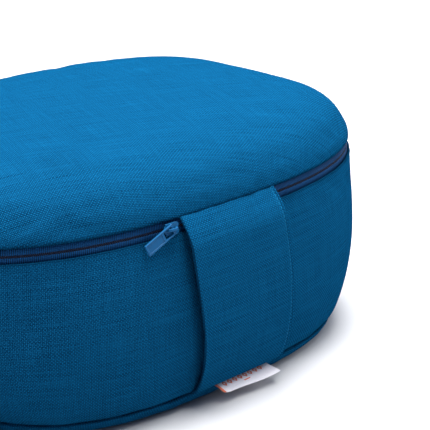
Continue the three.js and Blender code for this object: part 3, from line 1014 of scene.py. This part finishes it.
def rounded_box(x0, x1, z0, z1, corner, steps=5):
    """A rectangle of (x, z) points with round corners."""
    points = []
    for cx, cz, start in ((x1 - corner, z1 - corner, 0), (x0 + corner, z1 - corner, 1),
                          (x0 + corner, z0 + corner, 2), (x1 - corner, z0 + corner, 3)):
        for k in range(steps + 1):
            turn = (start + k / steps) * math.pi / 2
            points.append((cx + corner * math.cos(turn), cz + corner * math.sin(turn)))
    return points


def cast_piece(name, solids, origin, axes, voxel):
    """Joins overlapping solids into one casting with soft edges, in the cushion's frame."""
    points, faces = [], []
    for solid_points, solid_faces in solids:
        start = len(points)
        points += solid_points
        faces += [tuple(start + k for k in f) for f in solid_faces]
    piece = mesh_piece(name, points, faces)
    face_outwards(piece)
    fuse = piece.modifiers.new("Fuse", "REMESH")
    fuse.mode = "VOXEL"
    fuse.voxel_size = voxel
    fuse.use_smooth_shade = True
    soften = piece.modifiers.new("Soften", "SMOOTH")
    soften.factor = 0.5
    soften.iterations = 4
    ready = piece.evaluated_get(bpy.context.evaluated_depsgraph_get())
    cast = bpy.data.meshes.new_from_object(ready)
    piece.modifiers.clear()
    piece.data = cast
    cast.name = name
    placed = in_frame([v.co for v in cast.vertices], origin, *axes)
    cast.vertices.foreach_set("co", [c for p in placed for c in p])
    cast.polygons.foreach_set("use_smooth", [True] * len(cast.polygons))
    cast.update()
    return piece


def box_solid(x0, x1, y0, y1, z0, z1, corner):
    return slab(rounded_box(x0, x1, z0, z1, corner), y0, y1)


class CUSHION_OT_slider(bpy.types.Operator):
    """Makes the zip slider: two plates, side flanges, divider and the bridge for the pull tab"""

    bl_idname = "cushion.slider"
    bl_label = "Zip slider"

    def execute(self, context):
        sizes = context.scene.cushion_zip
        pivot, travel, face, up_wall, _ = slider_axes()
        half_l = sizes.plate_length / 2
        half_w = sizes.plate_width / 2
        plate_top = -1.1 * MM
        plate_low = -2.25 * MM
        chain_back = -6.6 * MM
        nose = [(half_l * (0.55 + 0.45 * math.cos(turn)), half_w * 0.78 * math.sin(turn))
                for turn in np.linspace(-math.pi / 2, math.pi / 2, 25)]
        shoulder = [(half_l * (0.5 * math.cos(turn) - 0.5), half_w * (0.45 + 0.55 * math.sin(turn)))
                    for turn in np.linspace(math.pi / 2, math.pi, 13)]
        notch = [(-half_l * 0.86, 0.0)]
        mirrored = [(x, -z) for x, z in reversed(shoulder)]
        outline_points = nose + shoulder + notch + mirrored
        solids = [
            slab(outline_points, plate_low, plate_top),
            slab(outline_points, chain_back - 1.1 * MM, chain_back),
            box_solid(-half_l * 0.85, -half_l * 0.42, chain_back - 0.4 * MM, plate_low + 0.4 * MM,
                      -0.3 * MM, 0.3 * MM, 0.25 * MM),
        ]
        for side in (-1, 1):
            z = side * half_w * 0.86
            solids.append(box_solid(-half_l * 0.55, half_l * 0.75, plate_low - 0.45 * MM, plate_top,
                                    z - 0.4 * MM, z + 0.4 * MM, 0.3 * MM))
        solids.append(self.bridge())
        piece = cast_piece("slider_body", solids, pivot, (travel, face, up_wall), 0.16 * MM)
        settle_in(piece, blue_paint(), "slider", ["zip_slider"])
        return {"FINISHED"}

    def bridge(self):
        """A bowed strap of metal over the plate, along the slider."""
        half_span = 4.1 * MM
        foot = -1.5 * MM
        clear = 1.1 * MM
        metal = 1.0 * MM
        half_width = 0.95 * MM
        steps = 20
        points, faces = [], []
        for k in range(steps + 1):
            turn = math.pi * k / steps
            squash = abs(math.sin(turn)) ** 0.55
            for grow in (0, metal):
                x = (half_span - metal + grow) * math.cos(turn)
                y = foot + (clear - foot + grow) * squash
                for z in (-half_width, half_width):
                    points.append((x, y, z))
        ring = (0, 1, 3, 2)
        for k in range(steps):
            for a, b in zip(ring, ring[1:] + ring[:1]):
                faces.append((4 * k + a, 4 * k + b, 4 * k + 4 + b, 4 * k + 4 + a))
        faces.append(ring)
        faces.append(tuple(4 * steps + a for a in reversed(ring)))
        return points, faces


class CUSHION_OT_pull_tab(bpy.types.Operator):
    """Makes the pull tab: a flat bar with a raised rim, a sunk middle and a slot for the bridge"""

    bl_idname = "cushion.pull_tab"
    bl_label = "Pull tab"

    def execute(self, context):
        sizes = context.scene.cushion_zip
        pivot, travel, face, up_wall, droop = slider_axes()
        along = travel * math.cos(droop) - up_wall * math.sin(droop)
        side = travel * math.sin(droop) + up_wall * math.cos(droop)
        bar = 1.6 * MM
        rail = 1.15 * MM
        start = -bar / 2
        end = sizes.tab_length - bar / 2
        half = sizes.tab_width / 2
        slot_end = bar / 2 + 7.4 * MM
        thin = 0.34 * MM
        thick = 0.78 * MM
        round_edge = 0.6 * MM
        middle = half - 0.5 * MM
        bars = (
            (start, bar / 2, -half, half, thick, 0.5 * MM),
            (start, slot_end + 1.5 * MM, half - rail, half, thick, round_edge),
            (start, slot_end + 1.5 * MM, -half, -half + rail, thick, round_edge),
            (slot_end, slot_end + 1.7 * MM, -half, half, thick, round_edge),
            (slot_end + 0.5 * MM, end - 0.5 * MM, -middle, middle, thin, round_edge),
            (slot_end, end, half - rail, half, thick, round_edge),
            (slot_end, end, -half, -half + rail, thick, round_edge),
            (end - 1.5 * MM, end, -half, half, thick, 0.7 * MM),
        )
        solids = [box_solid(x0, x1, -deep, deep, z0, z1, corner) for x0, x1, z0, z1, deep, corner in bars]
        piece = cast_piece("puller_tab", solids, pivot, (along, face, side), 0.14 * MM)
        settle_in(piece, blue_paint(), "tab", ["pull_tab"])
        return {"FINISHED"}


STRAP_ROWS = 110


def strap_line():
    """The strap's outer face seen from its edge: distances from the middle and heights, top to bottom."""
    reach = 10.4 * MM
    top_turn = 0.16
    low_turn = 0.5
    rows = [(wall_front(TOP_SEAM_Z) - 4.5 * MM, TOP_SEAM_Z + 0.6 * MM),
            (wall_front(TOP_SEAM_Z) - 1.5 * MM, TOP_SEAM_Z + 1.3 * MM)]
    for k in range(STRAP_ROWS):
        climb = 1 - 0.5 * (1 - math.cos(math.pi * (k + 0.5) / STRAP_ROWS))
        z = BASE_SEAM_Z + (TOP_SEAM_Z - BASE_SEAM_Z) * climb
        upper = math.sin(math.pi / 2 * min(1, (1 - climb) / top_turn)) ** 0.76
        lower = math.sin(math.pi / 2 * min(1, climb / low_turn)) ** 0.35
        rows.append((wall_front(z) + reach * upper * lower, z + 0.8 * MM * climb**30))
    rows.append((wall_front(BASE_SEAM_Z) - 1.2 * MM, BASE_SEAM_Z - 0.6 * MM))
    rows.append((wall_front(BASE_SEAM_Z) - 4.0 * MM, BASE_SEAM_Z - 0.3 * MM))
    return np.array(rows)


def wall_front(z):
    return float(wall_radius(np.array(FRONT), np.array(z)))


def strap_stand(run, across):
    """How far the strap's cloth bows and waves off its line."""
    wave = float(ripple(np.array(run * 34), np.array(across * 1.3), 23)) * 0.65 * MM
    return (0.5 - across**2) * 1.1 * MM + wave * min(1, (1 - abs(across)) * 8)


def strap_edges(z):
    """Where the strap's left and right edges lie at a height: it is a little wider at the top."""
    half = STRAP_HIGH.x
    climb = np.clip((z - BASE_SEAM_Z) / (TOP_SEAM_Z - BASE_SEAM_Z), 0, 1)
    left = -half + 4.2 * MM - 7.4 * MM * np.sin(np.pi / 2 * climb**1.4)
    left = left + 2.2 * MM * climb**9
    right = half - 2.4 * MM + 0.9 * MM * np.sin(np.pi * climb)
    return left, right


class CUSHION_OT_strap(bpy.types.Operator):
    """Makes the carry strap, folded double, standing off the side between the two seams"""

    bl_idname = "cushion.strap"
    bl_label = "Carry strap"

    def execute(self, context):
        sewing = context.scene.cushion_sewing
        line = strap_line()
        step = np.gradient(line, axis=0)
        step /= np.linalg.norm(step, axis=1, keepdims=True)
        out = np.stack([-step[:, 1], step[:, 0]], axis=-1)
        out *= np.where(out[:, :1] < 0, -1, 1)
        out[:2] = (0, 1)
        run = run_along(line)
        left, right = strap_edges(line[:, 1])
        columns = 56
        section = self.section(columns, sewing)
        points, cloth_uv, seam = [], [], []
        for k, (reach, z) in enumerate(line):
            middle = (left[k] + right[k]) / 2
            half = (right[k] - left[k]) / 2
            for across, depth, along_cloth in section:
                x = middle + half * across
                y = -(reach + (depth + strap_stand(run[k], across)) * out[k][0])
                points.append((x, MIDDLE_Y + y, z + depth * out[k][1]))
                cloth_uv.append((along_cloth * half, run[k]))
                # Distance from the strap's edges, which the canvas turns into painted shade: a dark line
                # along both edges.
                seam.append((1 - abs(across)) * half * 1.7)
        count = len(section)
        faces = grid_faces(len(line), count, closed=True)
        faces += [tuple(reversed(range(count))), tuple(range((len(line) - 1) * count, len(line) * count))]
        piece = mesh_piece("strap", points, faces, cloth_uv, seam)
        face_outwards(piece)
        smooth_over(piece)
        settle_in(piece, canvas_finish(), "cushion", ["carry_strap"])
        self.stitches(sewing, line, run, out, left, right)
        return {"FINISHED"}

    def section(self, columns, sewing):
        """The strap cut across: share of half width, depth from its face and place on the cloth."""
        thick = sewing.strap_thickness
        rows = []
        for k in range(2 * columns):
            across = math.sin(math.pi / 2 * (2 * k / columns - 1))
            edge = (1 - abs(across)) * STRAP_HIGH.x
            fold = -thick / 2 * (1 - min(1, edge / (1.2 * MM))) ** 2
            if k > columns:
                rows.append((across, -thick - fold, 2.1 - across))
                continue
            sewn = math.exp(-(((edge - sewing.stitch_inset) / (0.9 * MM)) ** 2))
            raised = math.exp(-(((edge - 1.5 * MM) / (0.9 * MM)) ** 2))
            rows.append((across, fold + (0.75 * MM * raised - 0.6 * MM * sewn) * (across > 0), across))
        return rows

    def stitches(self, sewing, line, run, out, left, right):
        thread = kept("Blue thread", twisted_thread, "thread")
        sunk = -0.5 * MM
        points, outwards = [], []
        for k in range(3, len(line) - 2):
            reach, z = line[k]
            half = (right[k] - left[k]) / 2
            across = 1 - sewing.stitch_inset / half
            y = -(reach + (sunk + strap_stand(run[k], across)) * out[k][0])
            points.append((right[k] - sewing.stitch_inset, MIDDLE_Y + y, z + sunk * out[k][1]))
            outwards.append((0, -out[k][0], out[k][1]))
        guide = path_line("strap_stitch_line", points, outwards)
        piece = bead_row("strap_stitches", guide, thread, Spacing=sewing.stitch_spacing,
                         Along=sewing.stitch_length, Across=sewing.thread, Depth=sewing.thread,
                         Unevenness=0.06, Seed=sewing.seed)
        settle_in(piece, thread, "cushion", [])


class CUSHION_OT_labels(bpy.types.Operator):
    """Makes the folded woven label in the bottom seam and the care label inside the cover"""

    bl_idname = "cushion.labels"
    bl_label = "Labels"

    def execute(self, context):
        satin = kept("Label satin", label_satin, "label", "mark")
        width = LABEL_HIGH.x - LABEL_LOW.x
        depth = LABEL_HIGH.y - LABEL_LOW.y
        rows, columns = 13, 40
        cloth_gap = 0.45 * MM
        points, cloth_uv = [], []
        for layer in (0, 1):
            for i in range(rows):
                out = i / (rows - 1)
                for j in range(columns):
                    along = j / (columns - 1)
                    x = LABEL_LOW.x + width * along + 1.5 * MM * out * along
                    seam_y = MIDDLE_Y - wall_front(BASE_SEAM_Z) + 2.0 * MM + 0.6 * MM * along**2
                    reach = depth * (0.86 + 0.36 * along**1.6)
                    y = seam_y - (reach + 1.6 * MM) * out
                    sag = -(4.4 - 2.8 * along**2) * MM * out**1.2
                    curl = 0.9 * MM * math.sin(along * 5.1 + 0.6) * out
                    lift = 1.6 * MM * max(0, 1 - along * 9) * out
                    gap = cloth_gap * (1 - layer) * (1.1 - 0.6 * out**6)
                    z = BASE_SEAM_Z - 0.9 * MM + sag + curl + lift + gap
                    points.append((x, y, z))
                    cloth_uv.append((width * along, reach * out))
        count = rows * columns
        faces = grid_faces(rows, columns)
        under = [tuple(count + k for k in reversed(f)) for f in faces]
        rim = self.rim(rows, columns)
        for a, b in zip(rim, rim[1:] + rim[:1]):
            faces.append((a, count + a, count + b, b))
        piece = mesh_piece("label", points, faces + under, cloth_uv)
        face_outwards(piece)
        smooth_over(piece)
        settle_in(piece, satin, "cushion", ["woven_label"])
        self.care_label(satin)
        return {"FINISHED"}

    def rim(self, rows, columns):
        """The grid's border, once round."""
        bottom = list(range(columns))
        right = [i * columns + columns - 1 for i in range(1, rows)]
        top = [(rows - 1) * columns + j for j in range(columns - 2, -1, -1)]
        left = [i * columns for i in range(rows - 2, 0, -1)]
        return bottom + right + top + left

    def care_label(self, satin):
        width = CARE_HIGH.x - CARE_LOW.x
        height = CARE_HIGH.z - CARE_LOW.z
        rows, columns = 16, 10
        points, cloth_uv = [], []
        for i in range(rows):
            for j in range(columns):
                x = CARE_LOW.x + width * j / (columns - 1)
                z = CARE_LOW.z + height * i / (rows - 1)
                y = (CARE_LOW.y + CARE_HIGH.y) / 2 + 0.3 * MM * math.sin(i * 0.7)
                points.append((x, y, z))
                cloth_uv.append((width * j / (columns - 1), 0.012 + height * i / (rows - 1)))
        faces = [tuple(reversed(f)) for f in grid_faces(rows, columns)]
        piece = mesh_piece("inside_label", points, faces, cloth_uv)
        thicken(piece, 0.3 * MM)
        settle_in(piece, satin, "cushion", ["care_label"])


def filled_form(name, inset, base, low_seam, high_seam, crown, seam_dent, lump, seed, steps=150):
    """A closed crowned form inside the cover: flat-based, with a swelling side and a domed top."""
    profile = [(0.02, base), (0.3, base), (0.6, base), (0.8, base)]
    for k in range(7):
        turn = math.pi / 2 * k / 6
        profile.append((1 - 0.12 * (1 - math.sin(turn)), base + (low_seam - base) * (1 - math.cos(turn))))
    for k in range(1, 14):
        profile.append((1, low_seam + (high_seam - low_seam) * k / 14))
    for k in range(14):
        part = math.sqrt(math.sin(math.pi / 2 * (1 - k / 14)))
        profile.append((part, high_seam + (crown - high_seam) * float(crown_rise(np.array(part)))))
    profile.append((0.1, crown))
    part = np.array([p for p, _ in profile])[:, None]
    z = np.array([q for _, q in profile])[:, None]
    angle = np.linspace(0, math.tau, steps, endpoint=False)[None, :]
    to_seam = np.minimum(np.abs(z - low_seam), np.abs(z - high_seam))
    dent = seam_dent * np.exp(-((to_seam / (4 * MM)) ** 2))
    radius = part * (wall_radius(angle + 0 * z, z + 0 * angle) - inset - dent)
    radius += lump * ripple(angle * 6, z * 60, seed) * (part > 0.5)
    height = z + lump * ripple(radius * np.cos(angle) * 60, radius * np.sin(angle) * 60, seed + 1) * (
        z > high_seam
    )
    points = place(angle + 0 * z, radius, height).reshape(-1, 3)
    rows = len(profile)
    faces = grid_faces(rows, steps, closed=True)
    base_middle = len(points)
    points = np.vstack([points, [[0, MIDDLE_Y, base]], [[0, MIDDLE_Y, crown]]])
    for j in range(steps):
        n = (j + 1) % steps
        faces.append((j, base_middle, n))
        faces.append(((rows - 1) * steps + j, (rows - 1) * steps + n, base_middle + 1))
    piece = mesh_piece(name, points, faces)
    face_outwards(piece)
    return piece


class CUSHION_OT_filling(bpy.types.Operator):
    """Makes the inner bag and the husks inside it"""

    bl_idname = "cushion.filling"
    bl_label = "Inner bag and husks"

    def execute(self, context):
        inset = TOP_HIGH.x - LINER_TOP_HIGH.x
        bag = filled_form("inner_bag", inset, LINER_BASE_LOW.z, LINER_BASE_HIGH.z, LINER_TOP_LOW.z,
                          LINER_TOP_HIGH.z, 1.6 * MM, 0.35 * MM, 31)
        cotton = kept("Unbleached cotton", plain_cotton, "cotton")
        settle_in(bag, cotton, "cushion", ["liner_top", "liner_side", "liner_bottom"])
        husks = filled_form("husk_bed", inset + 3 * MM, HUSK_LOW.z, LINER_BASE_HIGH.z, LINER_TOP_LOW.z,
                            HUSK_HIGH.z - 1 * MM, 0.0, 0.5 * MM, 41)
        dry = kept("Dry husks", dry_husks, "husk")
        settle_in(husks, dry, "cushion", ["husk_filling"])
        return {"FINISHED"}


VIEW_OFFSET = Vector((-0.7267, -0.8582, 0.5058))
VIEW_HEADING = math.radians(-44.936)
VIEW_PITCH = math.radians(-20.124)
VIEW_LENS = 132.8
FLOOR_HALF = 6.0
# Each softbox's name, place, aim, width in metres and power in watts.
SOFTBOXES = (
    ("Overhead softbox", (0.15, 0.22, 1.9), (0, 0.02, 0.1), 1.7, 125),
    ("Front softbox", (-0.05, -0.75, 1.6), (0, -0.2, 0), 0.7, 13),
    ("Left softbox", (-2.2, -0.3, 0.9), (0, 0, 0.1), 1.0, 7),
    ("Right softbox", (2.0, -0.9, 0.9), (0, 0, 0.1), 1.0, 22),
)
SKY_TONE = (0.5, 0.66, 1, 1)
SKY_STRENGTH = 0.3


class CUSHION_OT_stage(bpy.types.Operator):
    """Makes the pale floor, the soft studio light and the camera"""

    bl_idname = "cushion.stage"
    bl_label = "Floor, light and camera"

    def execute(self, context):
        scene = context.scene
        corners = [(x * FLOOR_HALF, y * FLOOR_HALF, 0) for x, y in ((-1, -1), (1, -1), (1, 1), (-1, 1))]
        floor = mesh_piece("floor", corners, [(0, 1, 2, 3)])
        floor.data.materials.append(kept("Pale floor", pale_ground))
        world = bpy.data.worlds.new("Studio")
        world.use_nodes = True
        sky = world.node_tree.nodes["Background"].inputs
        sky["Color"].default_value = SKY_TONE
        sky["Strength"].default_value = SKY_STRENGTH
        scene.world = world
        scene.view_settings.view_transform = "Standard"
        for settings in SOFTBOXES:
            self.softbox(*settings)
        lens = bpy.data.cameras.new("Camera")
        lens.lens = VIEW_LENS
        lens.sensor_width = 36
        lens.clip_start = 0.05
        camera = link(bpy.data.objects.new("Camera", lens))
        camera.location = Vector((0, MIDDLE_Y, 0)) + VIEW_OFFSET
        camera.rotation_euler = (math.pi / 2 + VIEW_PITCH, 0, VIEW_HEADING)
        scene.camera = camera
        return {"FINISHED"}

    def softbox(self, name, place_at, aim, size, power):
        light = bpy.data.lights.new(name, "AREA")
        light.shape = "DISK"
        light.size = size
        light.energy = power
        lamp = link(bpy.data.objects.new(name, light))
        lamp.location = place_at
        lamp.rotation_euler = (Vector(place_at) - Vector(aim)).to_track_quat("Z", "Y").to_euler()


OPERATORS = (
    CUSHION_OT_stage,
    CUSHION_OT_top_panel,
    CUSHION_OT_side_panel,
    CUSHION_OT_bottom_panel,
    CUSHION_OT_zip,
    CUSHION_OT_slider,
    CUSHION_OT_pull_tab,
    CUSHION_OT_strap,
    CUSHION_OT_labels,
    CUSHION_OT_filling,
)
GROUPS = {
    "cushion_shape": CushionShape,
    "cushion_zip": CushionZip,
    "cushion_sewing": CushionSewing,
    "cushion_colours": CushionColours,
}


class CUSHION_PT_panel(bpy.types.Panel):
    """Lists the cushion's pieces and their sizes in the sidebar"""

    bl_idname = "CUSHION_PT_panel"
    bl_label = "Cushion"
    bl_space_type = "VIEW_3D"
    bl_region_type = "UI"
    bl_category = "Cushion"

    def draw(self, context):
        for operator in OPERATORS:
            self.layout.operator(operator.bl_idname)
        for key, group in GROUPS.items():
            box = self.layout.box()
            for name in group.__annotations__:
                box.prop(getattr(context.scene, key), name)


def register():
    for cls in (*GROUPS.values(), *OPERATORS, CUSHION_PT_panel):
        bpy.utils.register_class(cls)
    for key, group in GROUPS.items():
        setattr(bpy.types.Scene, key, PointerProperty(type=group))


def unregister():
    for key in GROUPS:
        delattr(bpy.types.Scene, key)
    for cls in reversed((*GROUPS.values(), *OPERATORS, CUSHION_PT_panel)):
        bpy.utils.unregister_class(cls)


def main():
    register()
    for operator in OPERATORS:
        getattr(bpy.ops.cushion, operator.bl_idname.split(".")[1])()


if __name__ == "__main__":
    main()
